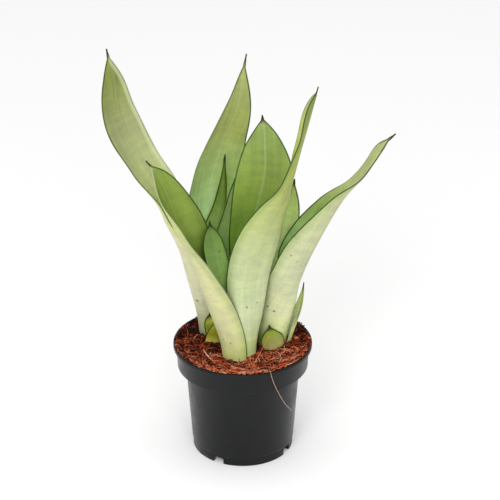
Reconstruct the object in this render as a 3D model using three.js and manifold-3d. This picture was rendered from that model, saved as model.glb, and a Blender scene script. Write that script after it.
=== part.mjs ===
// Potted moonshine snake plant: four clumps of pale, channelled leaves in a black nursery pot.
// Millimetres, +Z up, origin at the middle of the pot's underside, viewer on the -Y side.

import * as THREE from "three";
import Module from "manifold-3d";
import { mergeVertices } from "three/addons/utils/BufferGeometryUtils.js";

const wasm = await Module();
wasm.setup();

const { clamp, degToRad, lerp, smoothstep } = THREE.MathUtils;

// Clearance between pieces that rest against each other, and how far cutters reach past a face
const CLEARANCE = 0.3;
const CUT_MARGIN = 1;

// Pot, by radius and height
const POT_HEIGHT = 100;
const LIP_RADIUS = 60;
const LIP_HEIGHT = 3.5;
const LIP_BEVEL = 0.8;
const COLLAR_TOP_RADIUS = 57.2;
const COLLAR_RADIUS = 56.6;
const COLLAR_BOTTOM = 79;
const BODY_TOP_RADIUS = 49.5;
const BODY_BOTTOM_RADIUS = 44.6;
const FOOT_RADIUS = 43.8;
const FOOT_HEIGHT = 8;
const FOOT_STEP = 0.8;
const WALL = 1.8;
const FLOOR = 2;
const CHANNEL_HEIGHT = 7;
const CHANNEL_INNER_RADIUS = 24;
const CHANNEL_OUTER_RADIUS = 40.5;
const CHANNEL_DRAFT = 0.5;
const POT_SEGMENTS = 72;

// Drainage: notches through the foot ring and holes in the raised part of the floor
const NOTCH_COUNT = 4;
const NOTCH_FIRST_ANGLE = -119;
const NOTCH_WIDTH = 10;
const NOTCH_HEIGHT = 6;
const NOTCH_CORNER = 2;
const NOTCH_CORNER_STEPS = 3;
const DRAIN_COUNT = 8;
const DRAIN_RADIUS = 3.5;
const DRAIN_RING_RADIUS = 32;
const DRAIN_SIDES = 12;

// Soil: level with the rim at its edge, dished inwards, with shallow waves
const SOIL_EDGE_RADIUS = COLLAR_TOP_RADIUS - WALL - 2 * CLEARANCE;
const SOIL_EDGE_HEIGHT = 98.6;
const SOIL_DISH = 2;
const SOIL_RELIEF = 0.7;
const SOIL_RELIEF_PITCH = 6;
const SOIL_RINGS = 6;
const SOIL_SEGMENTS = 48;

// Rootstocks: the short buried stems that the leaves of one clump stand on, with thick roots
const ROOTSTOCK_TOP = 82;
const ROOTSTOCK_HEIGHT = 24;
const ROOTSTOCK_SIDES = 24;
const ROOT_COUNT = 4;
const ROOT_LENGTH = 26;
const ROOT_RADIUS = 2.2;
const ROOT_END_RADIUS = 0.9;
const ROOT_SIDES = 6;
const ROOT_TILT = 22;
const HOLE_FLARE = 1.5;

const CLUMPS = {
  front: { x: -1.5, y: -16.5, radius: 17 },
  left: { x: -28.5, y: 13.5, radius: 13.7 },
  right: { x: 26, y: 3.8, radius: 15.6 },
  rear: { x: -1, y: 26, radius: 14.5 },
};

// Leaves. path: points up the midrib. facing: compass direction of the upper face, in degrees
// from +X, at even steps from base to tip. fold: how far round the cross-section curls, in
// degrees, at the same steps. width: the widest blade. base: width at the base, and widest: its
// place along the blade, both as fractions. taper: higher is blunter. awl: the hard point.
const LEAF_BASE = ROOTSTOCK_TOP + CLEARANCE;
const BLADE_THICKNESS = 2.8;
const UPPER_THICKNESS = 1.6;
const EDGE_THICKNESS = 0.9;
const THICKNESS_BY_WIDTH = 0.12;
const EDGE_SHARPNESS = 2.2;
const AWL_WIDTH = 1.8;
const AWL_END = 0.35;
const LEAF_STATIONS = 22;
const LEAF_STRIPS = 8;
const TIP_CROWDING = 1.25;
const SHORT_LEAF = 90;
const SHORT_LEAF_STATIONS = 12;
const SHORT_LEAF_STRIPS = 6;

const LEAVES = {
  leaf_left_tall: {
    path: [[-30, 11, 82], [-33, 11, 120], [-47, 8, 168], [-62, 6, 209], [-69, 4, 236],
      [-87, 1, 270], [-101, -3, 311], [-104, -3, 342], [-108, -3, 367]],
    facing: [70, 66, 48, 12, -22, -28, -42, -62, -80],
    fold: [160, 150, 140, 134, 128, 98, 62, 42, 36],
    width: 40, base: 0.7, widest: 0.48, taper: 4, awl: 6,
  },
  leaf_left_front: {
    path: [[-12, -27, 82], [-15.5, -27.5, 117], [-32, -28, 162], [-44.5, -28, 204],
      [-56.5, -28.5, 235], [-67.5, -28, 266], [-77.5, -28, 281]],
    facing: [37, 43, 41, 21, -4, -24, -29, -42, -49],
    fold: [156, 148, 160, 176, 189, 184, 148, 104, 62],
    width: 48, base: 0.74, widest: 0.53, taper: 3.3, awl: 6,
  },
  leaf_front: {
    path: [[4.5, -26.6, 82], [4.5, -25.9, 105], [6, -26.2, 133], [6.6, -28.9, 174],
      [18, -31.5, 214], [37, -32, 256], [48.5, -32, 300], [60, -32, 346]],
    facing: [122, 119, 107, 117, 143, 169, 177, 173],
    fold: [150, 112, 80, 68, 56, 52, 44, 110],
    width: 50, base: 0.59, widest: 0.67, taper: 4.2, awl: 5,
  },
  leaf_front_young: {
    path: [[-3, -12.5, 82], [-9.5, -16, 125], [-16, -20.5, 166], [-22.5, -24.5, 199],
      [-27, -25, 226]],
    facing: [-70, -73, -78, -89, -104],
    fold: [110, 92, 73, 56, 39],
    width: 20, base: 0.6, widest: 0.7, taper: 4.2, awl: 3,
  },
  leaf_centre_broad: {
    path: [[-3, -3.8, 82], [2.1, 9.5, 147], [8.3, 11, 205], [17.3, 15, 245.8], [18.1, 18, 277.6],
      [16.4, 20, 301.4]],
    facing: [-88, -77, -70, -75, -88, -90],
    fold: [112, 99, 85, 66, 44, 20],
    width: 51, base: 0.4, widest: 0.7, taper: 2.4, awl: 3,
  },
  leaf_rear_left: {
    path: [[-3, 20, 82], [-9.7, 19.5, 144], [-13.8, 20, 189], [-5.9, 22, 226.6], [2.5, 24, 268]],
    facing: [-85, -82, -74, -64, -80],
    fold: [112, 101, 92, 83, 58],
    width: 32, base: 0.5, widest: 0.42, taper: 1.8, awl: 3,
  },
  leaf_rear_spear: {
    path: [[-7, 27.8, 82], [-14, 30, 143], [-23.8, 31, 184.5], [-17.5, 31.5, 217],
      [-14.7, 31.6, 261]],
    facing: [-60, -82, -102, -115, -110],
    fold: [115, 110, 106, 104, 92],
    width: 26, base: 0.6, widest: 0.56, taper: 1, awl: 4,
  },
  leaf_rear_tall: {
    path: [[-5, 36, 82], [-10.3, 38, 134], [-24.6, 38, 178.4], [-28.6, 37, 223.3],
      [-18.3, 35, 268.8], [-4.8, 32, 305.2], [3.4, 30, 351]],
    facing: [-85, -75, -67, -61, -55, -64, -90],
    fold: [136, 100, 67, 65, 69, 75, 75],
    width: 50, base: 0.5, widest: 0.62, taper: 1.5, awl: 9,
  },
  leaf_rear_right: {
    path: [[8, 27, 82], [10, 28, 104], [22, 28, 143], [32, 28.5, 182], [40.5, 28.5, 212],
      [44, 29, 240]],
    facing: [-110, -105, -100, -100, -100],
    fold: [95, 90, 70, 60, 50],
    width: 28, base: 0.42, widest: 0.6, taper: 2, awl: 3,
  },
  leaf_right_arching: {
    path: [[26.4, -4, 82], [31.8, -4, 110.5], [39.9, -4, 136], [48.4, -4, 162], [59.3, -3, 189.5],
      [80.9, -3, 232], [99.5, -2, 257], [112.6, -1, 280.7], [125.2, 0, 293]],
    facing: [109, 118, 138, 171, 174, 172, 172, 190, 248],
    fold: [165, 185, 215, 224, 212, 148, 59, 24, 20],
    width: 70, base: 0.5, widest: 0.43, taper: 1.4, awl: 6,
  },
  leaf_right_short: {
    path: [[38.1, 5, 82], [41.4, 6, 101], [50.1, 8, 130], [52.4, 9, 152]],
    facing: [180, 180, 182, 182],
    fold: [62, 64, 66, 50],
    width: 21, base: 0.66, widest: 0.55, taper: 2, awl: 2,
  },
  sheath_right_front: {
    path: [[30.3, -7, 82], [28.8, -9.8, 97], [24.8, -12, 110], [22.7, -12, 122]],
    facing: [120, 112, 104, 100],
    fold: [55, 76, 78, 58],
    width: 22, base: 0.62, widest: 0.62, taper: 1.6, awl: 2,
  },
  sheath_left_inner: {
    path: [[-25.5, 7.9, 82], [-27, 7.5, 104], [-28.5, 7.5, 114], [-28, 8, 124]],
    facing: [-75, -76, -78, -81],
    fold: [100, 83, 66, 48],
    width: 12, base: 0.8, widest: 0.53, taper: 4.2, awl: 2,
  },
  sheath_left_outer: {
    path: [[-24.3, 2.8, 82], [-23.2, 1.3, 104], [-20.8, 1.5, 114], [-18.5, 2, 128]],
    facing: [100, 100, 100, 100],
    fold: [112, 95, 75, 60],
    width: 18.5, base: 0.8, widest: 0.35, taper: 1.3, awl: 2,
  },
};

const materials = {
  leaf: new THREE.MeshStandardMaterial({ color: 0x93a865, roughness: 0.55 }),
  pot: new THREE.MeshStandardMaterial({ color: 0x232425, roughness: 0.4 }),
  soil: new THREE.MeshStandardMaterial({ color: 0x5a2c1c, roughness: 1 }),
  rootstock: new THREE.MeshStandardMaterial({ color: 0xc9a36a, roughness: 0.8 }),
};

const part = new THREE.Group();

function addPiece(name, geometry, material) {
  const mesh = new THREE.Mesh(geometry, material);
  mesh.name = name;
  part.add(mesh);
}

// Closed three.js geometry to a solid that can be joined and cut
function toSolid(geometry) {
  geometry.deleteAttribute("normal");
  geometry.deleteAttribute("uv");
  const welded = mergeVertices(geometry, 1e-4);
  return new wasm.Manifold(new wasm.Mesh({
    numProp: 3,
    vertProperties: Float32Array.from(welded.attributes.position.array),
    triVerts: Uint32Array.from(welded.index.array),
  }));
}

function toGeometry(solid) {
  const data = solid.getMesh();
  const geometry = new THREE.BufferGeometry();
  geometry.setAttribute("position", new THREE.BufferAttribute(data.vertProperties, 3));
  geometry.setIndex(new THREE.BufferAttribute(data.triVerts, 1));
  geometry.computeVertexNormals();
  return geometry;
}

// Body of revolution about +Z from radius and height pairs, listed up the outside
function turned(profile, segments) {
  const points = profile.map(([radius, height]) => new THREE.Vector2(radius, height));
  return new THREE.LatheGeometry(points, segments).rotateX(Math.PI / 2);
}

// Upright round post between two heights
function post(x, y, bottomRadius, topRadius, bottom, top, sides) {
  const geometry = new THREE.CylinderGeometry(topRadius, bottomRadius, top - bottom, sides);
  return toSolid(geometry.rotateX(Math.PI / 2).translate(x, y, (top + bottom) / 2));
}

function potBody() {
  return toSolid(turned([
    [0, 0],
    [CHANNEL_INNER_RADIUS, 0],
    [CHANNEL_INNER_RADIUS + CHANNEL_DRAFT, CHANNEL_HEIGHT],
    [CHANNEL_OUTER_RADIUS - CHANNEL_DRAFT, CHANNEL_HEIGHT],
    [CHANNEL_OUTER_RADIUS, 0],
    [FOOT_RADIUS, 0],
    [FOOT_RADIUS, FOOT_HEIGHT],
    [BODY_BOTTOM_RADIUS, FOOT_HEIGHT + FOOT_STEP],
    [BODY_TOP_RADIUS, COLLAR_BOTTOM],
    [COLLAR_RADIUS, COLLAR_BOTTOM],
    [COLLAR_TOP_RADIUS, POT_HEIGHT - LIP_HEIGHT],
    [LIP_RADIUS, POT_HEIGHT - LIP_HEIGHT],
    [LIP_RADIUS, POT_HEIGHT - LIP_BEVEL],
    [LIP_RADIUS - LIP_BEVEL, POT_HEIGHT],
    [COLLAR_TOP_RADIUS - WALL, POT_HEIGHT],
    [COLLAR_RADIUS - WALL, COLLAR_BOTTOM + WALL],
    [BODY_TOP_RADIUS - WALL, COLLAR_BOTTOM + WALL],
    [BODY_BOTTOM_RADIUS - WALL, CHANNEL_HEIGHT + FLOOR],
    [CHANNEL_INNER_RADIUS - FLOOR, CHANNEL_HEIGHT + FLOOR],
    [CHANNEL_INNER_RADIUS - FLOOR, FLOOR],
    [0, FLOOR],
  ], POT_SEGMENTS));
}

// Cutter for one drainage notch, pointing out along +X
function notchCutter() {
  const half = NOTCH_WIDTH / 2;
  const shoulder = NOTCH_HEIGHT - NOTCH_CORNER;
  const outline = new THREE.Shape();
  outline.moveTo(-half, -CUT_MARGIN);
  outline.lineTo(half, -CUT_MARGIN);
  outline.lineTo(half, shoulder);
  outline.absarc(half - NOTCH_CORNER, shoulder, NOTCH_CORNER, 0, Math.PI / 2);
  outline.absarc(NOTCH_CORNER - half, shoulder, NOTCH_CORNER, Math.PI / 2, Math.PI);
  const geometry = new THREE.ExtrudeGeometry(outline, {
    depth: LIP_RADIUS - DRAIN_RING_RADIUS,
    bevelEnabled: false,
    curveSegments: NOTCH_CORNER_STEPS,
  });
  return geometry.rotateX(Math.PI / 2).rotateZ(Math.PI / 2).translate(DRAIN_RING_RADIUS, 0, 0);
}

function pot() {
  let body = potBody();
  for (let i = 0; i < NOTCH_COUNT; i += 1) {
    const angle = degToRad(NOTCH_FIRST_ANGLE + (i * 360) / NOTCH_COUNT);
    body = body.subtract(toSolid(notchCutter().rotateZ(angle)));
  }
  for (let i = 0; i < DRAIN_COUNT; i += 1) {
    const angle = (i * 2 * Math.PI) / DRAIN_COUNT;
    const x = DRAIN_RING_RADIUS * Math.cos(angle);
    const y = DRAIN_RING_RADIUS * Math.sin(angle);
    const top = CHANNEL_HEIGHT + 2 * FLOOR;
    body = body.subtract(post(x, y, DRAIN_RADIUS, DRAIN_RADIUS, FLOOR, top, DRAIN_SIDES));
  }
  return body;
}

// Rootstock of one clump, every surface moved out by the given margin
function rootstock({ x, y, radius }, margin) {
  const bottom = ROOTSTOCK_TOP - ROOTSTOCK_HEIGHT;
  const side = radius + margin;
  let body = post(x, y, side, side, bottom - margin, ROOTSTOCK_TOP, ROOTSTOCK_SIDES);
  const length = ROOT_LENGTH + margin;
  for (let i = 0; i < ROOT_COUNT; i += 1) {
    const root = new THREE.CylinderGeometry(
      ROOT_RADIUS + margin,
      ROOT_END_RADIUS + margin,
      length,
      ROOT_SIDES,
    );
    root.translate(0, -length / 2, 0);
    root.rotateX(Math.PI / 2).rotateY(-degToRad(ROOT_TILT));
    root.rotateZ(((i + 0.5) * 2 * Math.PI) / ROOT_COUNT);
    root.translate(x, y, bottom + ROOT_RADIUS);
    body = body.add(toSolid(root));
  }
  return body;
}

function soilHeight(x, y) {
  const outward = Math.hypot(x, y) / SOIL_EDGE_RADIUS;
  const first = Math.sin(x / SOIL_RELIEF_PITCH + 1);
  const second = Math.sin((y - x / 2) / SOIL_RELIEF_PITCH);
  const dish = SOIL_DISH * (1 - outward ** 2);
  return SOIL_EDGE_HEIGHT - dish + SOIL_RELIEF * (first + second) * (1 - outward ** 4);
}

function soil() {
  const profile = [
    [0, FLOOR + CLEARANCE],
    [CHANNEL_INNER_RADIUS - FLOOR - CLEARANCE, FLOOR + CLEARANCE],
    [CHANNEL_INNER_RADIUS - FLOOR - CLEARANCE, CHANNEL_HEIGHT + FLOOR + CLEARANCE],
    [BODY_BOTTOM_RADIUS - WALL - CLEARANCE, CHANNEL_HEIGHT + FLOOR + CLEARANCE],
    [BODY_TOP_RADIUS - WALL - CLEARANCE, COLLAR_BOTTOM + WALL + CLEARANCE],
    [COLLAR_RADIUS - WALL - CLEARANCE, COLLAR_BOTTOM + WALL + CLEARANCE],
  ];
  for (let ring = SOIL_RINGS; ring >= 0; ring -= 1) {
    profile.push([(SOIL_EDGE_RADIUS * ring) / SOIL_RINGS, POT_HEIGHT]);
  }
  const geometry = turned(profile, SOIL_SEGMENTS);
  const position = geometry.attributes.position;
  for (let i = 0; i < position.count; i += 1) {
    if (position.getZ(i) === POT_HEIGHT) {
      position.setZ(i, soilHeight(position.getX(i), position.getY(i)));
    }
  }
  let body = toSolid(geometry);
  for (const clump of Object.values(CLUMPS)) {
    const { x, y, radius } = clump;
    const hole = radius + CLEARANCE;
    const bottom = ROOTSTOCK_TOP - CUT_MARGIN;
    const top = POT_HEIGHT + CUT_MARGIN;
    body = body.subtract(rootstock(clump, CLEARANCE));
    body = body.subtract(post(x, y, hole, hole + HOLE_FLARE, bottom, top, ROOTSTOCK_SIDES));
  }
  return body;
}

// Width of a blade at a distance along its midrib
function bladeWidth(leaf, distance, length) {
  const along = distance / (length - leaf.awl);
  if (along < leaf.widest) {
    return leaf.width * lerp(leaf.base, 1, smoothstep(along, 0, leaf.widest));
  }
  const beyond = Math.min((along - leaf.widest) / (1 - leaf.widest), 1);
  const awl = AWL_WIDTH * clamp((length - distance) / leaf.awl, AWL_END, 1);
  return Math.max(leaf.width * (1 - beyond ** leaf.taper), awl);
}

// One cross-section: matching rows of points on the upper and the under face
function leafSection(leaf, spine, lay, along, strips) {
  const length = spine.getLength();
  const middle = spine.getPointAt(along);
  const tangent = spine.getTangentAt(along);
  const turn = lay.getPoint(along);
  const compass = degToRad(turn.x);
  const fold = degToRad(turn.y);
  const upward = new THREE.Vector3(Math.cos(compass), Math.sin(compass), 0);
  upward.addScaledVector(tangent, -upward.dot(tangent)).normalize();
  const across = new THREE.Vector3().crossVectors(tangent, upward);

  const width = bladeWidth(leaf, along * length, length);
  const radius = width / fold;
  const thickest = Math.min(
    lerp(BLADE_THICKNESS, UPPER_THICKNESS, along),
    EDGE_THICKNESS + THICKNESS_BY_WIDTH * width,
  );
  const upper = [];
  const under = [];
  for (let j = 0; j <= strips; j += 1) {
    const side = (2 * j) / strips - 1;
    const angle = (side * fold) / 2;
    const outward = new THREE.Vector3()
      .addScaledVector(across, -Math.sin(angle))
      .addScaledVector(upward, Math.cos(angle));
    const centre = middle.clone()
      .addScaledVector(across, radius * Math.sin(angle))
      .addScaledVector(upward, radius * (1 - Math.cos(angle)));
    const half = lerp(thickest, EDGE_THICKNESS, Math.abs(side) ** EDGE_SHARPNESS) / 2;
    upper.push(centre.clone().addScaledVector(outward, half));
    under.push(centre.clone().addScaledVector(outward, -half));
  }
  if (along === 0) {
    for (const corner of [...upper, ...under]) {
      corner.addScaledVector(tangent, (LEAF_BASE - corner.z) / tangent.z);
    }
  }
  return { upper, under };
}

// Closed skin over the cross-sections, split into triangles alike on both faces
function leafGeometry(leaf) {
  const points = leaf.path.map(([x, y, z]) => new THREE.Vector3(x, y, z));
  const turns = leaf.facing.map((angle, i) => new THREE.Vector3(angle, leaf.fold[i], 0));
  const spine = new THREE.CatmullRomCurve3(points, false, "catmullrom", 0.5);
  const lay = new THREE.CatmullRomCurve3(turns, false, "catmullrom", 0.5);
  const short = spine.getLength() < SHORT_LEAF;
  const stations = short ? SHORT_LEAF_STATIONS : LEAF_STATIONS;
  const strips = short ? SHORT_LEAF_STRIPS : LEAF_STRIPS;

  const upper = [];
  const under = [];
  for (let i = 0; i <= stations; i += 1) {
    const along = 1 - (1 - i / stations) ** TIP_CROWDING;
    const section = leafSection(leaf, spine, lay, along, strips);
    upper.push(...section.upper);
    under.push(...section.under);
  }
  const row = strips + 1;
  const below = upper.length;
  const faces = [];
  const quad = (a, b, c, d) => faces.push(a, b, c, a, c, d);
  for (let i = 0; i < stations; i += 1) {
    const start = i * row;
    const next = start + row;
    for (let j = 0; j < strips; j += 1) {
      quad(start + j, start + j + 1, next + j + 1, next + j);
      faces.push(below + start + j, below + next + j + 1, below + start + j + 1);
      faces.push(below + start + j, below + next + j, below + next + j + 1);
    }
    quad(below + start, start, next, below + next);
    quad(start + strips, below + start + strips, below + next + strips, next + strips);
  }
  const last = stations * row;
  for (let j = 0; j < strips; j += 1) {
    quad(j, below + j, below + j + 1, j + 1);
    quad(last + j, last + j + 1, below + last + j + 1, below + last + j);
  }
  const geometry = new THREE.BufferGeometry().setFromPoints([...upper, ...under]);
  geometry.setIndex(faces);
  geometry.computeVertexNormals();
  return geometry;
}

addPiece("pot", toGeometry(pot()), materials.pot);
addPiece("soil", toGeometry(soil()), materials.soil);
for (const [name, clump] of Object.entries(CLUMPS)) {
  addPiece(`rootstock_${name}`, toGeometry(rootstock(clump, 0)), materials.rootstock);
}
for (const [name, leaf] of Object.entries(LEAVES)) {
  addPiece(name, leafGeometry(leaf), materials.leaf);
}

export default part;
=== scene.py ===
"""Potted moonshine snake plant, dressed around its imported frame.

Sizes are in millimetres as the plant is measured, and MM turns them into Blender's metres. The
lights, the camera and what the materials measure in object space are in metres.
"""

import math
import random

import bmesh
import bpy
import numpy as np
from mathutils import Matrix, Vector, noise


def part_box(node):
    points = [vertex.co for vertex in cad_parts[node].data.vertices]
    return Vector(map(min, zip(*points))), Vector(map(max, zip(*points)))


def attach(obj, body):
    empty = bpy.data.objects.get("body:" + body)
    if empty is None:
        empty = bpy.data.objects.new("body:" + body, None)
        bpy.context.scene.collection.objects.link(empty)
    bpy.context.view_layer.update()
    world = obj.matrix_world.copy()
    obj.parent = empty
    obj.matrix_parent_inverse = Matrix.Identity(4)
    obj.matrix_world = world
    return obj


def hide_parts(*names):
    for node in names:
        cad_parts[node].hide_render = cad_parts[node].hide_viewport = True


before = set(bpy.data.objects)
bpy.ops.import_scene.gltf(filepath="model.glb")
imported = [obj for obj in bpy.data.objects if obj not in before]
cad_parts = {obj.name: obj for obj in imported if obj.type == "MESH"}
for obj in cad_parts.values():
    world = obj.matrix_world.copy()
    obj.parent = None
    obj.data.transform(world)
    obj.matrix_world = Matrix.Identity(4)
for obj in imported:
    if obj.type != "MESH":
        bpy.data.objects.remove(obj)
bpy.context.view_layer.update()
scene = bpy.context.scene

MM = 0.001

# Pot, by radius and height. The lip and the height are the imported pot's own.
pot_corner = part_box("pot")[1]
POT_HEIGHT = pot_corner[2] / MM
LIP_RADIUS = pot_corner[0] / MM
LIP_HEIGHT = 3.5
COLLAR_TOP_RADIUS = 57.2
COLLAR_RADIUS = 56.6
COLLAR_BOTTOM = 79.0
BODY_TOP_RADIUS = 49.5
BODY_BOTTOM_RADIUS = 44.6
FOOT_RADIUS = 43.8
FOOT_HEIGHT = 8.0
FOOT_STEP = 0.8
WALL = 1.8
FLOOR = 2.0
CHANNEL_HEIGHT = 7.0
CHANNEL_INNER_RADIUS = 24.0
CHANNEL_OUTER_RADIUS = 40.5
CHANNEL_DRAFT = 0.5
POT_BEVEL = 0.6
BEVEL_STEPS = 3
BEVEL_SHARE = 0.4
POT_SEGMENTS = 180
POT_CREASE = 35.0
NOTCH_COUNT = 4
NOTCH_FIRST_ANGLE = -119.0
NOTCH_WIDTH = 10.0
NOTCH_HEIGHT = 6.0
NOTCH_CORNER = 2.0
NOTCH_ARC_STEPS = 6
NOTCH_OVERCUT = 1.0
DRAIN_COUNT = 8
DRAIN_RADIUS = 3.5
DRAIN_RING_RADIUS = 32.0
DRAIN_SEGMENTS = 32

# Soil: a hollow has a place, a radius and a depth
SOIL_EDGE_RADIUS = 54.8
SOIL_EDGE_HEIGHT = 98.6
SOIL_SHOULDER = 3.0
SOIL_DISH = 2.0
SOIL_RELIEF = 0.7
SOIL_RELIEF_PITCH = 6.0
SOIL_BOTTOM = 9.3
CLEARANCE = 0.3
SOIL_RINGS = 90
SOIL_SPOKES = 240
SOIL_CREASE = 70.0
SOIL_ROUGHNESS = 1.3
LUMP_SCALE = 0.16
LUMP_SEED = 3.0
LUMP_OCTAVES = 4
NOISE_DIMENSION = 1.0
NOISE_LACUNARITY = 2.0
HOLLOWS = [(-1, -37.5, 5, 3.0), (-36, -4, 9, 2.5), (-2, 48, 12, 1.5), (12, -12, 7, 2.5)]

# Coir: a pair is a range to draw from, and no fibre runs in the askew direction
COIR_SEED = 11
FIBRE_BATCHES = 5
FIBRES_PER_BATCH = 620
FIBRE_FIELD = SOIL_EDGE_RADIUS - 1.5
FIBRE_LENGTHS = (6, 24)
FIBRE_RADII = (0.14, 0.42)
FIBRE_STEPS = 7
FIBRE_BEND = 0.35
FIBRE_CURL = 0.25
FIBRE_CURL_RATE = 5
FIBRE_LIFT = 1.2
FIBRE_LEAN = 0.5
FIBRE_HEIGHT = 0.35
FIBRE_TURN_BACK = 1.2
FIBRE_SIDES = 3
STRAND_END = 0.35
STRAND_ARC = 0.15
STRAND_ASKEW = (0.13, 0.21, 0.97)
RIM_FIBRES = 700
RIM_START = SOIL_EDGE_RADIUS - 2
RIM_REACH = 58.8
FIBRE_LIMIT = RIM_REACH - 2
RIM_CLIMB = 1.5
RIM_FIBRE_LENGTHS = (3, 12)
RIM_FIBRE_RADII = (0.15, 0.4)
CRUMBS = 900
CRUMB_FIELD = RIM_REACH - 1
CRUMB_SIZES = (0.5, 1.6)
CRUMB_SPANS = [(0.6, 1.3), (0.6, 1.3), (0.4, 0.9)]
CRUMB_DENTS = (0.75, 1.25)
CRUMB_RISE = 0.2
CRUMB_TONE = 0.8
COIR_TONE = 0.37
# Painted light and shade: how much lighter the fibres are towards the front and the right, and darker
# towards the back and left
COIR_LIGHT_TO_FRONT = 0.38
COIR_LIGHT_TO_RIGHT = 0.08
COIR_SPREAD = 0.3
COIR_PATCH = 8.0
COIR_PATCHINESS = 0.45
COIR_PATCH_OCTAVES = 2
COIR_DARKEST = 0.02
COIR_LIGHTEST = 0.86

# Long fibres, each with its tone and radius: the first rises, the second hangs over the rim
STRAYS = [
    (0.85, 0.22, [(6.3, -52, 100), (9.7, -47.2, 104), (14.8, -34, 107.1), (19.8, -30, 115.5),
                  (23.2, -27, 120.6)]),
    (1.0, 0.15, [(21.4, -48.8, 103), (23.4, -56.2, 101), (24.7, -59, 97.3), (27.2, -58.5, 89.3),
                 (34.2, -52, 70.8), (38.5, -50.5, 63.9), (42, -50, 59.7)]),
    (1.0, 0.5, [(-33.5, -18, 101), (-30.2, -28.4, 102), (-25, -35.2, 100)]),
    (0.95, 0.25, [(27.7, -19.7, 101), (31, -26.7, 103), (32.5, -35.3, 103), (30.8, -40.3, 101)]),
    (0.95, 0.25, [(34.5, -43.5, 100.5), (41, -42, 101.5), (50, -27.5, 100)]),
    (0.7, 0.22, [(-48.5, -16.2, 99), (-49.4, -11.1, 105), (-47, -4.2, 109), (-49.6, 19.4, 104)]),
    (0.85, 0.25, [(-18, -48.7, 101), (-8.7, -55.5, 102), (3.8, -57.1, 101), (16.3, -53.7, 101)]),
    (0.9, 0.25, [(30, -30, 100), (36, -24, 103.5), (42, -20, 102), (47, -14, 99)]),
]
STRAY_STEPS = 25
STRAY_SIDES = 5

# Leaves: path is the midrib; facing and fold are the upper face's compass direction and how far
# round the section curls, in degrees, at even steps; base is the width at the base and widest the
# place of full width, as fractions; a high taper gives a blunt end, and awl is its point's length.
LEAF_BASE = 82.3
BLADE_THICKNESS = 2.8
UPPER_THICKNESS = 1.6
EDGE_THICKNESS = 0.9
THICKNESS_BY_WIDTH = 0.12
EDGE_SHARPNESS = 2.2
TIP_CROWDING = 1.25
AWL_WIDTH = 1.8
AWL_END = 0.35
LEAF_STEP = 1.8
FEWEST_STEPS = 24
STRIP_WIDTH = 1.3
FEWEST_STRIPS = 12
TRACK_STEPS = 1200
TRACK_ASIDE = 1e-3
LEAF_CREASE = 60.0
MARGIN_ROUNDING = 0.36
RIPPLE = 0.5
RIPPLE_LENGTH = 46.0
RIPPLE_SLANT = 1.7
RIPPLE_START = 0.35
RIPPLE_RISE = 4
RIPPLE_FALL = 6
RIPPLE_SHARPNESS = 3

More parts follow.
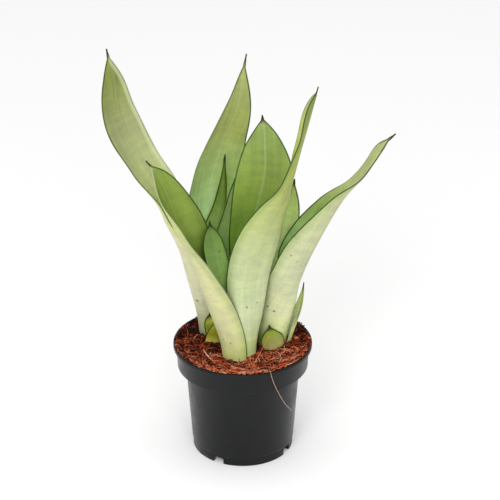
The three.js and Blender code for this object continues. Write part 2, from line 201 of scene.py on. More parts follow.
LEAVES = {
    "leaf_left_tall": dict(
        path=[(-30, 11, 82), (-33, 11, 120), (-47, 8, 168), (-62, 6, 209), (-69, 4, 236),
              (-87, 1, 270), (-101, -3, 311), (-104, -3, 342), (-108, -3, 367)],
        facing=[70, 66, 48, 12, -22, -28, -42, -62, -80],
        fold=[160, 150, 140, 134, 128, 98, 62, 42, 36],
        width=40, base=0.7, widest=0.48, taper=4, awl=6),
    "leaf_left_front": dict(
        path=[(-12, -27, 82), (-15.5, -27.5, 117), (-32, -28, 162), (-44.5, -28, 204),
              (-56.5, -28.5, 235), (-67.5, -28, 266), (-77.5, -28, 281)],
        facing=[37, 43, 41, 21, -4, -24, -29, -42, -49],
        fold=[156, 148, 160, 176, 189, 184, 148, 104, 62],
        width=48, base=0.74, widest=0.53, taper=3.3, awl=6),
    "leaf_front": dict(
        path=[(4.5, -26.6, 82), (4.5, -25.9, 105), (6, -26.2, 133), (6.6, -28.9, 174),
              (18, -31.5, 214), (37, -32, 256), (48.5, -32, 300), (60, -32, 346)],
        facing=[122, 119, 107, 117, 143, 169, 177, 173],
        fold=[150, 112, 80, 68, 56, 52, 44, 110],
        width=50, base=0.59, widest=0.67, taper=4.2, awl=5),
    "leaf_front_young": dict(
        path=[(-3, -12.5, 82), (-9.5, -16, 125), (-16, -20.5, 166), (-22.5, -24.5, 199),
              (-27, -25, 226)],
        facing=[-70, -73, -78, -89, -104],
        fold=[110, 92, 73, 56, 39],
        width=20, base=0.6, widest=0.7, taper=4.2, awl=3),
    "leaf_centre_broad": dict(
        path=[(-3, -3.8, 82), (2.1, 9.5, 147), (8.3, 11, 205), (17.3, 15, 245.8),
              (18.1, 18, 277.6), (16.4, 20, 301.4)],
        facing=[-88, -77, -70, -75, -88, -90],
        fold=[112, 99, 85, 66, 44, 20],
        width=51, base=0.4, widest=0.7, taper=2.4, awl=3),
    "leaf_rear_left": dict(
        path=[(-3, 20, 82), (-9.7, 19.5, 144), (-13.8, 20, 189), (-5.9, 22, 226.6),
              (2.5, 24, 268)],
        facing=[-85, -82, -74, -64, -80],
        fold=[112, 101, 92, 83, 58],
        width=32, base=0.5, widest=0.42, taper=1.8, awl=3),
    "leaf_rear_spear": dict(
        path=[(-7, 27.8, 82), (-14, 30, 143), (-23.8, 31, 184.5), (-17.5, 31.5, 217),
              (-14.7, 31.6, 261)],
        facing=[-60, -82, -102, -115, -110],
        fold=[115, 110, 106, 104, 92],
        width=26, base=0.6, widest=0.56, taper=1, awl=4),
    "leaf_rear_tall": dict(
        path=[(-5, 36, 82), (-10.3, 38, 134), (-24.6, 38, 178.4), (-28.6, 37, 223.3),
              (-18.3, 35, 268.8), (-4.8, 32, 305.2), (3.4, 30, 351)],
        facing=[-85, -75, -67, -61, -55, -64, -90],
        fold=[136, 100, 67, 65, 69, 75, 75],
        width=50, base=0.5, widest=0.62, taper=1.5, awl=9),
    "leaf_rear_right": dict(
        path=[(8, 27, 82), (10, 28, 104), (22, 28, 143), (32, 28.5, 182), (40.5, 28.5, 212),
              (44, 29, 240)],
        facing=[-110, -105, -100, -100, -100],
        fold=[95, 90, 70, 60, 50],
        width=28, base=0.42, widest=0.6, taper=2, awl=3),
    "leaf_right_arching": dict(
        path=[(26.4, -4, 82), (31.8, -4, 110.5), (39.9, -4, 136), (48.4, -4, 162),
              (59.3, -3, 189.5), (80.9, -3, 232), (99.5, -2, 257), (112.6, -1, 280.7),
              (125.2, 0, 293)],
        facing=[109, 118, 138, 171, 174, 172, 172, 190, 248],
        fold=[165, 185, 215, 224, 212, 148, 59, 24, 20],
        width=70, base=0.5, widest=0.43, taper=1.4, awl=6),
    "leaf_right_short": dict(
        path=[(38.1, 5, 82), (41.4, 6, 101), (50.1, 8, 130), (52.4, 9, 152)],
        facing=[180, 180, 182, 182],
        fold=[62, 64, 66, 50],
        width=21, base=0.66, widest=0.55, taper=2, awl=2),
    "sheath_right_front": dict(
        path=[(30.3, -7, 82), (28.8, -9.8, 97), (24.8, -12, 110), (22.7, -12, 122)],
        facing=[120, 112, 104, 100],
        fold=[55, 76, 78, 58],
        width=22, base=0.62, widest=0.62, taper=1.6, awl=2),
    "sheath_left_inner": dict(
        path=[(-25.5, 7.9, 82), (-27, 7.5, 104), (-28.5, 7.5, 114), (-28, 8, 124)],
        facing=[-75, -76, -78, -81],
        fold=[100, 83, 66, 48],
        width=12, base=0.8, widest=0.53, taper=4.2, awl=2),
    "sheath_left_outer": dict(
        path=[(-24.3, 2.8, 82), (-23.2, 1.3, 104), (-20.8, 1.5, 114), (-18.5, 2, 128)],
        facing=[100, 100, 100, 100],
        fold=[112, 95, 75, 60],
        width=18.5, base=0.8, widest=0.35, taper=1.3, awl=2),
}

# Leaf skin. A noise has a layer, how fast it changes across and up the blade, and how far it
# darkens and lightens. An edging or mark ends at its reach and is full at its core, in millimetres
# or as a share of the reach.
LEAF_NOISES = dict(
    streaks=dict(layer=0, across=0.85, up=0.012, detail=4.0, roughness=0.65),
    broad=dict(layer=3, across=0.14, up=0.010, detail=2.0, roughness=0.5),
    bands=dict(layer=6, across=0.07, up=0.15, detail=3.0, roughness=0.6),
    grain=dict(layer=9, across=1.4, up=0.9, detail=3.0, roughness=0.7),
)
LEAF_SEED_STEP = 3.7
LEAF_SHADES = dict(streaks=(-0.06, 0.06), broad=(-0.09, 0.09), bands=(-0.09, 0.06), grain=(-0.06, 0.06))
UNDERSIDE_SHARE = 0.6
YELLOW_STRENGTH = 0.4
MIDRIB_REACH = 1.3
MIDRIB_CORE = 0.1
MIDRIB_WANDER = 1.0
FRINGE_REACH = 9.0
FRINGE_CORE = 1.5
FRINGE_STRENGTH = 0.75
EDGE_WOBBLE = 0.2
TIP_REACH = 9.0
TIP_CORE = 3.0
TIP_STRENGTH = 0.95
SCAR_ROUGHNESS = 0.3
SCAR_REACH = 1.3
SCAR_CORE = 0.5
SCAR_STRENGTH = 0.8

# Stage, in metres but for the floor: a light has a name, a place, a diameter and a power
FLOOR_REACH = 4000.0
FLOOR_ALBEDO = 0.985
FLOOR_GLOSS = 0.1
WORLD_STRENGTH = 0.88
LIGHTS = [("key", (-0.45, -1.45, 1.2), 0.8, 11), ("front", (0.35, -1.6, 0.95), 0.9, 8)]
LIGHT_TARGET = (0, 0, 0.2)
CAMERA_PLACE = (0.0063, -1.3242, 0.8361)
CAMERA_PITCH = 63.9
CAMERA_LENS = 126.0
CAMERA_SENSOR = 36.0


def srgb(red, green, blue):
    """Linear colour from 0 to 255 display values."""
    def linear(value):
        value /= 255
        return value / 12.92 if value <= 0.04045 else ((value + 0.055) / 1.055) ** 2.4
    return (linear(red), linear(green), linear(blue), 1.0)


LEAF_MARGIN = srgb(34, 64, 8)
# Painted sheen along curled leaf margins, and the pale line of the midrib
LEAF_MIDRIB_AND_SHEEN = srgb(214, 220, 184)
LEAF_TIP = srgb(36, 38, 20)
LEAF_SCAR = srgb(104, 72, 40)
LEAF_YELLOW = srgb(255, 253, 228)
LEAF_FRINGE = srgb(222, 234, 205)
POT_DUST = srgb(126, 112, 98)

# The painted sheen along a curled margin and the dark margin: their keys in a look, core, strength and
# colour
EDGINGS = [("band", "pale", 0.5, 0.5, LEAF_MIDRIB_AND_SHEEN), ("margin", "line", 0.4, 0.9, LEAF_MARGIN)]

# Colour ramps: a position, then display values
POT_STOPS = [(0.3, 10, 11, 12), (0.7, 17, 18, 19)]
SOIL_STOPS = [(0.35, 14, 7, 6), (0.55, 32, 15, 11), (0.66, 60, 28, 18), (0.8, 96, 46, 28)]
ROOT_STOPS = [(0.3, 140, 96, 52), (0.55, 196, 152, 92), (0.8, 224, 190, 136)]
COIR_STOPS = [(0.0, 18, 8, 7), (0.3, 62, 24, 15), (0.55, 142, 56, 28), (0.8, 212, 98, 50),
              (1.0, 222, 192, 166)]

# Looks of the leaves, left and right as the upper face is seen. upper and under: the colours from
# base to tip, with painted light and shade in them: darker greens inside the curled channels where
# shade falls, and lighter colours on leaves that stand in the shade of others. line, pale and fringe:
# how far the dark margin, the painted sheen of a curled margin inside it and the greener fringe of
# the underside show, on the left and the right, each at the base and the tip. margin and band: how
# far the first two reach, in millimetres. midrib: how far its line shows.
EVERYWHERE = ((1, 1), (1, 1))
NOWHERE = ((0, 0), (0, 0))
PLAIN_LOOK = dict(line=EVERYWHERE, pale=NOWHERE, fringe=EVERYWHERE, margin=1.0, band=1.6, midrib=0.05)

LOOKS = {
    "leaf_left_tall": dict(
        upper=[(0.0, 230, 240, 200), (0.55, 195, 205, 145), (0.75, 150, 155, 110),
               (0.92, 115, 125, 60)],
        under=[(0.0, 130, 140, 80), (0.2, 195, 195, 165), (0.45, 205, 205, 160),
               (1.0, 200, 220, 125)],
        line=((0.8, 0.9), (0.1, 0.5)),
        pale=((0, 0), (1, 0.6)),
        band=4.5),
    "leaf_left_front": dict(
        upper=[(0.0, 90, 110, 40), (0.55, 105, 125, 50), (0.75, 120, 140, 60), (1.0, 115, 135, 60)],
        under=[(0.0, 185, 195, 105), (0.2, 185, 185, 140), (0.6, 190, 190, 145),
               (0.8, 200, 205, 130), (1.0, 130, 145, 55)],
        line=((1, 0.2), (1, 1)),
        pale=((0, 1), (0, 0)),
        fringe=((1, 1), (0.3, 0.3))),
    "leaf_front": dict(
        upper=[(0.0, 160, 180, 40), (0.6, 155, 185, 35), (0.8, 190, 200, 105), (1.0, 160, 170, 105)],
        under=[(0.0, 180, 200, 115), (0.2, 185, 195, 155), (0.42, 170, 180, 135),
               (0.58, 170, 180, 115), (0.75, 155, 165, 80), (1.0, 115, 130, 70)],
        pale=((0, 0), (0, 0.5)),
        fringe=((0, 0), (1, 1))),
    "leaf_front_young": dict(
        upper=[(0.0, 140, 180, 90), (0.58, 140, 180, 85), (0.75, 120, 150, 80), (1.0, 85, 115, 45)],
        under=[(0.0, 120, 150, 60), (1.0, 85, 115, 35)]),
    "leaf_centre_broad": dict(
        upper=[(0.0, 165, 205, 90), (0.42, 160, 200, 85), (0.58, 120, 150, 65),
               (0.75, 135, 155, 75), (1.0, 135, 155, 90)],
        under=[(0.0, 230, 240, 205), (1.0, 230, 240, 205)],
        midrib=0.14),
    "leaf_rear_left": dict(
        upper=[(0.0, 140, 185, 100), (0.58, 135, 170, 100), (0.75, 150, 165, 110),
               (1.0, 175, 200, 115)],
        under=[(0.0, 230, 240, 165), (1.0, 230, 240, 170)]),
    "leaf_rear_spear": dict(
        upper=[(0.0, 160, 190, 120), (0.58, 160, 190, 115), (0.75, 105, 130, 55),
               (0.92, 85, 105, 25)],
        under=[(0.0, 230, 240, 205), (1.0, 230, 240, 75)]),
    "leaf_rear_tall": dict(
        upper=[(0.0, 205, 230, 180), (0.42, 195, 230, 170), (0.58, 160, 185, 120),
               (0.75, 150, 160, 90), (1.0, 150, 155, 100)],
        under=[(0.0, 230, 240, 205), (1.0, 185, 190, 110)],
        line=((0.2, 0.8), (1, 1)),
        pale=((0.3, 0), (0, 0)),
        midrib=0.1),
    # Painted light: a pale upper face, lifted against the shade of the leaves in front of it
    "leaf_rear_right": dict(
        upper=[(0.0, 230, 240, 205), (0.8, 200, 220, 140), (1.0, 150, 165, 75)],
        under=[(0.0, 230, 240, 205), (1.0, 230, 240, 190)]),
    "leaf_right_arching": dict(
        upper=[(0.0, 185, 220, 150), (0.42, 185, 220, 150), (0.6, 145, 170, 90),
               (0.75, 185, 195, 125), (1.0, 165, 175, 120)],
        under=[(0.0, 180, 200, 100), (0.2, 205, 210, 165), (0.42, 175, 180, 145),
               (0.75, 180, 185, 140), (1.0, 120, 135, 55)],
        fringe=((0.3, 0.3), (1, 1))),
    # Painted light: a pale upper face, lifted against the shade that the arching leaf's curl casts on it
    "leaf_right_short": dict(
        upper=[(0.0, 230, 240, 205), (0.5, 230, 240, 205), (1.0, 230, 240, 145)],
        under=[(0.0, 160, 185, 145), (0.4, 225, 230, 165), (0.6, 125, 145, 65), (1.0, 155, 165, 95)],
        line=((0.3, 0.3), (0.3, 0.3))),
    "sheath_right_front": dict(
        upper=[(0.0, 150, 160, 80), (1.0, 140, 150, 70)],
        under=[(0.0, 230, 235, 150), (0.42, 190, 180, 110), (0.6, 155, 160, 95),
               (0.8, 150, 160, 60), (1.0, 230, 240, 115)],
        margin=1.7),
    "sheath_left_inner": dict(
        upper=[(0.0, 230, 195, 90), (0.7, 140, 150, 50), (1.0, 230, 240, 90)],
        under=[(0.0, 180, 180, 95), (1.0, 135, 160, 60)]),
    "sheath_left_outer": dict(
        upper=[(0.0, 150, 150, 65), (1.0, 130, 140, 45)],
        under=[(0.0, 205, 195, 135), (0.25, 230, 220, 110), (0.5, 145, 140, 35),
               (1.0, 140, 170, 10)]),
}

# Small brown marks: distance from the base, distance from the midrib, radius and face
UPPER = 1
UNDER = -1
SCARS = {
    "leaf_left_tall": [(52.7, 2.6, 1.4, UNDER), (150, 4, 0.8, UPPER)],
    "leaf_front_young": [(118.3, 3.6, 1.1, UPPER)],
    "leaf_right_arching": [(50.5, 18.6, 1.0, UNDER), (48.8, 12.2, 1.1, UNDER), (106.7, 26.3, 0.8, UNDER),
                           (103.4, 19.7, 0.6, UNDER), (100.1, 14, 0.7, UNDER)],
    "leaf_front": [(66.4, 2.4, 0.9, UNDER), (68.5, -6.6, 0.7, UNDER)],
    "leaf_left_front": [(35.7, 0, 0.7, UNDER), (32.5, -6.4, 0.7, UNDER)],
}


# Shader helpers

def new_material(name, roughness=0.5, specular=0.5):
    material = bpy.data.materials.new(name)
    material.use_nodes = True
    tree = material.node_tree
    shader = tree.nodes["Principled BSDF"]
    shader.inputs["Roughness"].default_value = roughness
    shader.inputs["Specular IOR Level"].default_value = specular
    return material, tree, shader


def feed(tree, socket, value):
    """Links an output to a socket, or sets the socket to a constant."""
    if isinstance(value, bpy.types.NodeSocket):
        tree.links.new(value, socket)
    else:
        socket.default_value = value


def attribute(tree, name):
    node = tree.nodes.new("ShaderNodeAttribute")
    node.attribute_name = name
    return node.outputs["Fac"]


def calc(tree, operation, first, second=0.0, clamp=False):
    node = tree.nodes.new("ShaderNodeMath")
    node.operation = operation
    node.use_clamp = clamp
    feed(tree, node.inputs[0], first)
    feed(tree, node.inputs[1], second)
    return node.outputs[0]


def plus(tree, first, *others):
    for other in others:
        first = calc(tree, "ADD", first, other)
    return first


def times(tree, first, *others):
    for other in others:
        first = calc(tree, "MULTIPLY", first, other)
    return first


def ease(tree, value, low, high, start=0.0, end=1.0):
    """Smooth step of a value from start at low to end at high."""
    node = tree.nodes.new("ShaderNodeMapRange")
    node.interpolation_type = "SMOOTHSTEP"
    feed(tree, node.inputs["Value"], value)
    node.inputs["From Min"].default_value = low
    node.inputs["From Max"].default_value = high
    node.inputs["To Min"].default_value = start
    node.inputs["To Max"].default_value = end
    return node.outputs["Result"]


def spread(tree, value, start, end):
    """Noise, which lies mostly between 0.3 and 0.7, spread from start to end."""
    return ease(tree, value, 0.3, 0.7, start, end)


def blend(tree, factor, first, second, mode="MIX"):
    node = tree.nodes.new("ShaderNodeMix")
    node.data_type = "RGBA"
    node.blend_type = mode
    feed(tree, node.inputs["Factor"], factor)
    feed(tree, node.inputs[6], first)
    feed(tree, node.inputs[7], second)
    return node.outputs[2]


def vector(tree, x, y, z):
    node = tree.nodes.new("ShaderNodeCombineXYZ")
    for socket, value in zip(node.inputs, (x, y, z)):
        feed(tree, socket, value)
    return node.outputs[0]


def cloud(tree, place, scale, detail=2.0, roughness=0.5):
    node = tree.nodes.new("ShaderNodeTexNoise")
    node.inputs["Scale"].default_value = scale
    node.inputs["Detail"].default_value = detail
    node.inputs["Roughness"].default_value = roughness
    tree.links.new(place, node.inputs["Vector"])
    return node.outputs["Fac"]


def object_place(tree):
    return tree.nodes.new("ShaderNodeTexCoord").outputs["Object"]


def ramp(tree, factor, stops):
    """Colour ramp through stops of a position and three display values."""
    node = tree.nodes.new("ShaderNodeValToRGB")
    elements = node.color_ramp.elements
    while len(elements) < len(stops):
        elements.new(0.5)
    for element, (position, *colour) in zip(elements, stops):
        element.position = position
        element.color = srgb(*colour)
    tree.links.new(factor, node.inputs[0])
    return node.outputs[0]


def bump(tree, shader, height, distance, strength=1.0):
    node = tree.nodes.new("ShaderNodeBump")
    node.inputs["Distance"].default_value = distance
    node.inputs["Strength"].default_value = strength
    tree.links.new(height, node.inputs["Height"])
    tree.links.new(node.outputs[0], shader.inputs["Normal"])


# Materials

def leaf_noise(tree, seed, layer, across, up, detail, roughness):
    """Noise stretched along the blade, by millimetres across it and up it."""
    x = times(tree, attribute(tree, "across"), across)
    y = times(tree, attribute(tree, "rise"), up)
    return cloud(tree, vector(tree, x, y, seed + layer), 1.0, detail, roughness)


def leaf_greens(tree, look, noises):
    """The greens of both faces, made uneven by the noises, and the light line of the midrib."""
    along = attribute(tree, "along")
    upper = attribute(tree, "upper")
    colour = blend(tree, upper, ramp(tree, along, look["under"]), ramp(tree, along, look["upper"]))
    shades = {kind: spread(tree, noises[kind], *ends) for kind, ends in LEAF_SHADES.items()}
    depth = ease(tree, upper, 0, 1, start=UNDERSIDE_SHARE)
    for kind in ("streaks", "broad"):
        shades[kind] = times(tree, depth, shades[kind])
    light = plus(tree, *shades.values(), 1.0)
    colour = blend(tree, 1.0, colour, vector(tree, light, light, light), "MULTIPLY")
    yellow = ease(tree, noises["bands"], low=0.35, high=0.7, end=YELLOW_STRENGTH)
    colour = blend(tree, yellow, colour, LEAF_YELLOW, "MULTIPLY")
    wander = spread(tree, noises["broad"], -MIDRIB_WANDER, MIDRIB_WANDER)
    off_middle = calc(tree, "ABSOLUTE", plus(tree, attribute(tree, "across"), wander))
    ridge = ease(tree, off_middle, MIDRIB_REACH, MIDRIB_CORE, end=look["midrib"])
    return blend(tree, times(tree, ridge, upper), colour, LEAF_MIDRIB_AND_SHEEN)


def leaf_edging(tree, colour, look, noises, below):
    """The greener fringe of the underside, the painted sheen along curled margins, the dark margin and
    the dark tip.
    """
    rim = attribute(tree, "rim")
    green = ease(tree, rim, FRINGE_REACH, FRINGE_CORE, end=FRINGE_STRENGTH)
    fringe = times(tree, below, attribute(tree, "fringe"), green)
    colour = blend(tree, fringe, colour, LEAF_FRINGE, "MULTIPLY")
    edge = plus(tree, rim, ease(tree, noises["streaks"], 0.2, 0.8, -EDGE_WOBBLE, EDGE_WOBBLE))
    # The first edging is a painted sheen along curled margins, the second the dark margin
    for reach_key, key, core, strength, tint in EDGINGS:
        reach = look[reach_key]
        strip = ease(tree, edge, reach, reach * core)
        colour = blend(tree, times(tree, strip, attribute(tree, key), strength), colour, tint)
    tip = ease(tree, attribute(tree, "left_to_tip"), TIP_REACH, TIP_CORE, end=TIP_STRENGTH)
    return blend(tree, tip, colour, LEAF_TIP)


def leaf_scar(tree, colour, scar, noises, below):
    """A small brown mark with a rough edge, on one face only."""
    at_rise, at_across, radius, face = scar
    dx = calc(tree, "SUBTRACT", attribute(tree, "across"), at_across)
    dz = calc(tree, "SUBTRACT", attribute(tree, "rise"), at_rise)
    distance = calc(tree, "SQRT", plus(tree, times(tree, dx, dx), times(tree, dz, dz)))
    rough = plus(tree, distance, spread(tree, noises["grain"], -SCAR_ROUGHNESS, SCAR_ROUGHNESS))
    mark = ease(tree, rough, radius * SCAR_REACH, radius * SCAR_CORE, end=SCAR_STRENGTH)
    facing = attribute(tree, "upper") if face == UPPER else below
    return blend(tree, times(tree, mark, facing), colour, LEAF_SCAR)


def leaf_material(name, seed, look, scars):
    """Waxy leaf: greens on each face that hold painted light and shade, long streaks, faint bands and
    edged margins.
    """
    material, tree, shader = new_material(name, specular=0.15)
    noises = {kind: leaf_noise(tree, seed, **settings) for kind, settings in LEAF_NOISES.items()}
    below = calc(tree, "SUBTRACT", 1.0, attribute(tree, "upper"))
    colour = leaf_greens(tree, look, noises)
    colour = leaf_edging(tree, colour, look, noises, below)
    for scar in scars:
        colour = leaf_scar(tree, colour, scar, noises, below)
    feed(tree, shader.inputs["Base Color"], colour)
    shine = ease(tree, noises["grain"], low=0.2, high=0.8, start=0.42, end=0.6)
    feed(tree, shader.inputs["Roughness"], shine)
    height = plus(tree, times(tree, noises["streaks"], 0.7), times(tree, noises["grain"], 0.3))
    bump(tree, shader, height, distance=0.0002, strength=0.6)
    return material


def pot_material():
    """Black moulded plastic, slightly patchy, with dust and scuffs near the foot."""
    material, tree, shader = new_material("pot_plastic", specular=0.22)
    place = object_place(tree)
    patches = cloud(tree, place, scale=60.0, detail=4.0, roughness=0.6)
    fine = cloud(tree, place, scale=900.0)
    dust = cloud(tree, place, scale=260.0, detail=5.0, roughness=0.7)
    split = tree.nodes.new("ShaderNodeSeparateXYZ")
    tree.links.new(place, split.inputs[0])
    low = ease(tree, split.outputs["Z"], low=0.016, high=0.004, end=0.12)
    left = ease(tree, split.outputs["X"], low=0.01, high=-0.03, start=0.2)
    dusty = ease(tree, plus(tree, dust, times(tree, low, left)), low=0.66, high=0.8, end=0.45)
    colour = blend(tree, dusty, ramp(tree, patches, POT_STOPS), POT_DUST)
    feed(tree, shader.inputs["Base Color"], colour)
    shine = ease(tree, patches, low=0.25, high=0.75, start=0.28, end=0.42)
    feed(tree, shader.inputs["Roughness"], shine)
    bump(tree, shader, fine, distance=0.00008, strength=0.5)
    return material


def coir_material():
    """Fibres and crumbs: one tone for each strand, mottled along its length."""
    material, tree, shader = new_material("coir_fibre", roughness=0.8, specular=0.1)
    mottle = cloud(tree, object_place(tree), scale=400.0, detail=3.0)
    uneven = spread(tree, mottle, -0.1, 0.1)
    tone = calc(tree, "ADD", attribute(tree, "tone"), uneven, clamp=True)
    feed(tree, shader.inputs["Base Color"], ramp(tree, tone, COIR_STOPS))
    bump(tree, shader, mottle, distance=0.0001)
    return material


def soil_material():
    """Dark, lumpy coir dust under the fibres."""
    material, tree, shader = new_material("coir_soil", roughness=0.95)
    place = object_place(tree)
    lumps = cloud(tree, place, scale=140.0, detail=6.0, roughness=0.65)
    grains = cloud(tree, place, scale=900.0, detail=3.0, roughness=0.6)
    tone = plus(tree, times(tree, lumps, 0.7), times(tree, grains, 0.35))
    feed(tree, shader.inputs["Base Color"], ramp(tree, tone, SOIL_STOPS))
    bump(tree, shader, tone, distance=0.0015)
    return material


def rootstock_material():
    """Pale brown skin of the buried stems and roots."""
    material, tree, shader = new_material("rhizome", roughness=0.75)
    rings = cloud(tree, object_place(tree), scale=220.0, detail=5.0, roughness=0.7)
    feed(tree, shader.inputs["Base Color"], ramp(tree, rings, ROOT_STOPS))
    bump(tree, shader, rings, distance=0.0006)
    return material


# Geometry helpers

def add_mesh(name, vertices, faces, attributes=None, crease=None):
    """Smooth-shaded object from millimetre vertices, with float attributes on its points."""
    mesh = bpy.data.meshes.new(name)
    mesh.from_pydata((np.asarray(vertices) * MM).tolist(), [], faces)
    for key, values in (attributes or {}).items():
        layer = mesh.attributes.new(key, "FLOAT", "POINT")
        layer.data.foreach_set("value", np.asarray(values, dtype=np.float32))
    mesh.shade_smooth()
    if crease is not None:
        mesh.set_sharp_from_angle(angle=math.radians(crease))
    piece = bpy.data.objects.new(name, mesh)
    scene.collection.objects.link(piece)
    return piece


def dress(piece, material, slot, *nodes):
    """Gives a piece its material and ties it to the frame."""
    piece.data.materials.append(material)
    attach(piece, "root")
    if nodes:
        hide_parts(*nodes)


def spline(points, steps):
    """Uniform Catmull-Rom curve through the points, at parameters from 0 to 1."""
    points = np.asarray(points, dtype=float)
    last = len(points) - 1
    scaled = np.clip(steps, 0.0, 1.0) * last
    index = np.minimum(scaled.astype(int), last - 1)
    t = (scaled - index)[:, None]
    padded = np.vstack([2 * points[0] - points[1], points, 2 * points[-1] - points[-2]])
    before, here, there, after = (padded[index + k] for k in range(4))
    leave = (there - before) / 2
    arrive = (after - here) / 2
    return (
        (2 * t**3 - 3 * t**2 + 1) * here
        + (t**3 - 2 * t**2 + t) * leave
        + (3 * t**2 - 2 * t**3) * there
        + (t**3 - t**2) * arrive
    )


def unit(vectors):
    return vectors / np.linalg.norm(vectors, axis=-1, keepdims=True)


def tube_faces(rings, sides):
    """Faces of a closed tube whose rings of points follow one another."""
    faces = []
    for i in range(rings - 1):
        for k in range(sides):
            n = (k + 1) % sides
            faces.append((i * sides + k, i * sides + n, (i + 1) * sides + n, (i + 1) * sides + k))
    faces.append(tuple(range(sides))[::-1])
    faces.append(tuple((rings - 1) * sides + k for k in range(sides)))
    return faces


# Leaves

def leaf_midrib(leaf):
    """Length of the midrib, and its stations: their fractions, places and directions."""
    fine = np.linspace(0, 1, TRACK_STEPS + 1)
    track = spline(leaf["path"], fine)
    run = np.concatenate([[0], np.cumsum(np.linalg.norm(np.diff(track, axis=0), axis=1))])
    length = run[-1]
    stations = max(int(length / LEAF_STEP), FEWEST_STEPS)
    along = 1 - (1 - np.linspace(0, 1, stations + 1)) ** TIP_CROWDING
    steps = np.interp(along * length, run, fine)
    middle = spline(leaf["path"], steps)
    ahead = spline(leaf["path"], steps + TRACK_ASIDE)
    behind = spline(leaf["path"], steps - TRACK_ASIDE)
    return length, along, middle, unit(ahead - behind)


def blade_width(leaf, distance, length):
    """Width of the blade: it widens from the base, then narrows into the awl of the tip."""
    along = distance / (length - leaf["awl"])
    rise = np.clip(along / leaf["widest"], 0, 1)
    widening = leaf["base"] + (1 - leaf["base"]) * rise**2 * (3 - 2 * rise)
    beyond = np.clip((along - leaf["widest"]) / (1 - leaf["widest"]), 0, 1)
    narrowing = 1 - beyond ** leaf["taper"]
    awl = AWL_WIDTH * np.clip((length - distance) / leaf["awl"], AWL_END, 1)
    full = leaf["width"] * np.where(along < leaf["widest"], widening, narrowing)
    return np.where(along < leaf["widest"], full, np.maximum(full, awl))


def blade_thickness(along, width, side):
    """Thickness of the blade: greatest at the midrib near the base."""
    thickest = np.minimum(
        BLADE_THICKNESS + (UPPER_THICKNESS - BLADE_THICKNESS) * along,
        EDGE_THICKNESS + THICKNESS_BY_WIDTH * width,
    )
    slimming = np.abs(side[None, :]) ** EDGE_SHARPNESS
    return thickest[:, None] + (EDGE_THICKNESS - thickest[:, None]) * slimming


def blade_ripple(seed, length, along, side):
    """Slight waves of the margins, fading towards the base, the tip and the midrib."""
    fade_in = np.clip((along - RIPPLE_START) * RIPPLE_RISE, 0, 1)
    fade_out = np.clip((1 - along) * RIPPLE_FALL, 0, 1)
    height = RIPPLE * fade_in * fade_out
    phase = along[:, None] * length / RIPPLE_LENGTH * 2 * math.pi + seed + side[None, :] * RIPPLE_SLANT
    return height[:, None] * np.sin(phase) * np.abs(side[None, :]) ** RIPPLE_SHARPNESS


def leaf_loops(leaf, seed, length, along, middle, tangent, width, side):
    """Loops round the blade: upper face, right margin, underside, left margin."""
    compass, fold = np.radians(spline(np.column_stack([leaf["facing"], leaf["fold"]]), along)).T
    upward = np.column_stack([np.cos(compass), np.sin(compass), np.zeros_like(compass)])
    upward = unit(upward - (upward * tangent).sum(1, keepdims=True) * tangent)
    across = np.cross(tangent, upward)
    angle = side[None, :] * fold[:, None] / 2
    sine = np.sin(angle)[..., None]
    cosine = np.cos(angle)[..., None]
    radius = (width / fold)[:, None, None]
    outward = upward[:, None] * cosine - across[:, None] * sine
    centre = middle[:, None] + across[:, None] * radius * sine + upward[:, None] * radius * (1 - cosine)
    centre = centre + outward * blade_ripple(seed, length, along, side)[..., None]
    half = blade_thickness(along, width, side)[..., None] / 2
    upper = centre + outward * half
    under = centre - outward * half
    sideways = unit(np.cross(tangent[:, None], outward))
    right = centre[:, -1] + sideways[:, -1] * MARGIN_ROUNDING
    left = centre[:, 0] - sideways[:, 0] * MARGIN_ROUNDING
    loops = np.concatenate([upper, right[:, None], under[:, ::-1], left[:, None]], axis=1)
    drop = (LEAF_BASE - loops[0, :, 2]) / tangent[0, 2]
    loops[0] += drop[:, None] * tangent[0]
    return loops


def both_faces(values, right_end, left_end):
    """Values across the blade, in the order of a loop's points."""
    return np.hstack([values, right_end, values[:, ::-1], left_end])


def by_margin(ends, along, side):
    """Strength of the left and the right margin's edging, changing from base to tip."""
    left, right = ((low + (high - low) * along)[:, None] for low, high in ends)
    return both_faces(np.where(side[None, :] < 0, left, right), right, left)


def leaf_attributes(look, length, along, width, side):
    """What the material reads at each point: its place on the blade, and the edging."""
    none = np.zeros((len(along), 1))
    across = side[None, :] * width[:, None] / 2
    rim = (1 - np.abs(side[None, :])) * width[:, None] / 2
    lengthwise = np.repeat(along[:, None], 2 * len(side) + 2, axis=1)
    attributes = {
        "along": lengthwise,
        "rise": lengthwise * length,
        "left_to_tip": (1 - lengthwise) * length,
        "across": both_faces(across, across[:, -1:], across[:, :1]),
        "rim": both_faces(rim, none, none),
        "upper": np.hstack([np.ones_like(rim), none + 0.5, np.zeros_like(rim), none + 0.5]),
    }
    for key in ("line", "pale", "fringe"):
        attributes[key] = by_margin(look[key], along, side)
    return {key: value.ravel() for key, value in attributes.items()}


def leaf_blade(name, leaf, seed, look):
    """Closed skin of one leaf: a grid of cross-section loops with rounded margins."""
    length, along, middle, tangent = leaf_midrib(leaf)
    width = blade_width(leaf, along * length, length)
    strips = max(int(leaf["width"] / STRIP_WIDTH), FEWEST_STRIPS)
    side = np.linspace(-1, 1, strips + 1)
    loops = leaf_loops(leaf, seed, length, along, middle, tangent, width, side)
    rings, sides = loops.shape[:2]
    attributes = leaf_attributes(look, length, along, width, side)
    return add_mesh(name, loops.reshape(-1, 3), tube_faces(rings, sides), attributes, LEAF_CREASE)


def build_leaves():
    for seed, (name, leaf) in enumerate(LEAVES.items()):
        look = PLAIN_LOOK | LOOKS[name]
        piece = leaf_blade(f"{name}_blade", leaf, seed, look)
        material = leaf_material(f"{name}_skin", seed * LEAF_SEED_STEP, look, SCARS.get(name, []))
        dress(piece, material, "leaf", name)


# Pot

